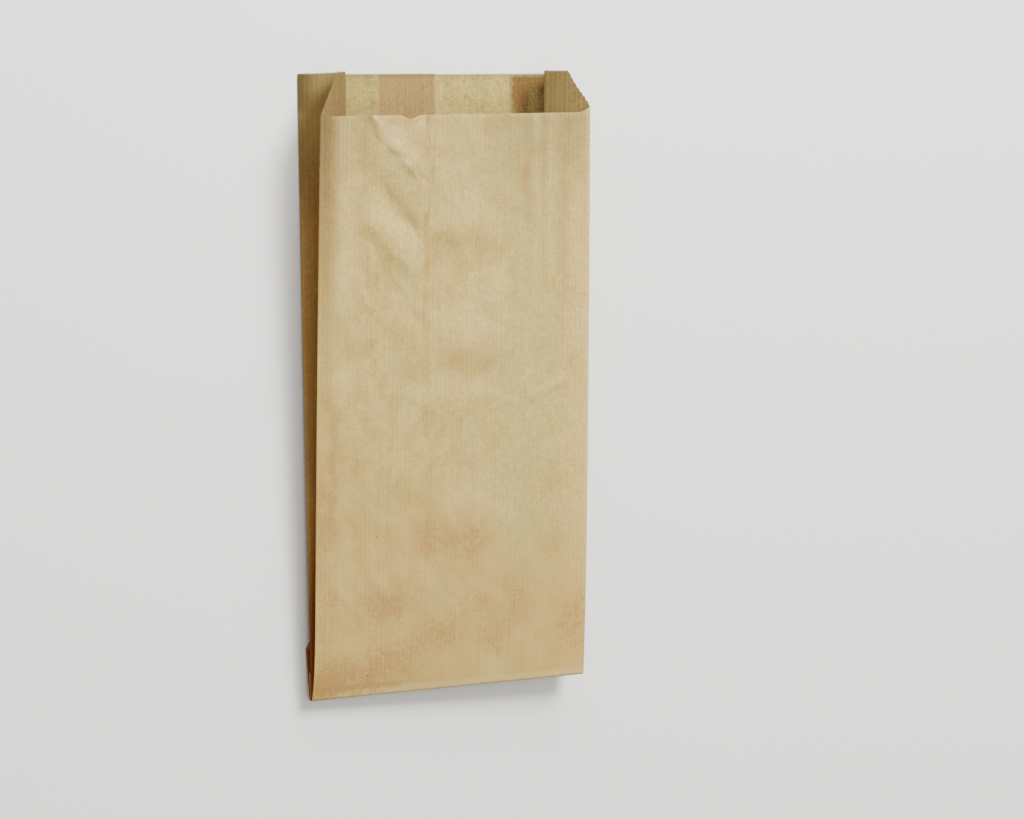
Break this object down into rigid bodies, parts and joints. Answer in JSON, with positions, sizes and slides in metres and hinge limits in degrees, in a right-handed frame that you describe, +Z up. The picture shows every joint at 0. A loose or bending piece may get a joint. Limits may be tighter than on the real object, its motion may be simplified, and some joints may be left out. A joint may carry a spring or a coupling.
{
  "type": "kraft paper bag",
  "caption": "Empty gusseted kraft paper bag lying on its back panel, mouth open, with a stepped toothed edge and a folded-under bottom flap.",
  "frame": {"origin": "centre of the bounding box's bottom face, on the surface that the bag lies on", "axes": "+Y from the bottom fold to the open mouth, +Z up out of the front panel, +X across the width"},
  "size_m": [0.14, 0.2834, 0.0225],
  "materials": {
    "kraft_paper": "matte ribbed brown kraft paper"
  },
  "bodies": {
    "root": {"paper_bag": "kraft_paper"}
  },
  "joints": []
}
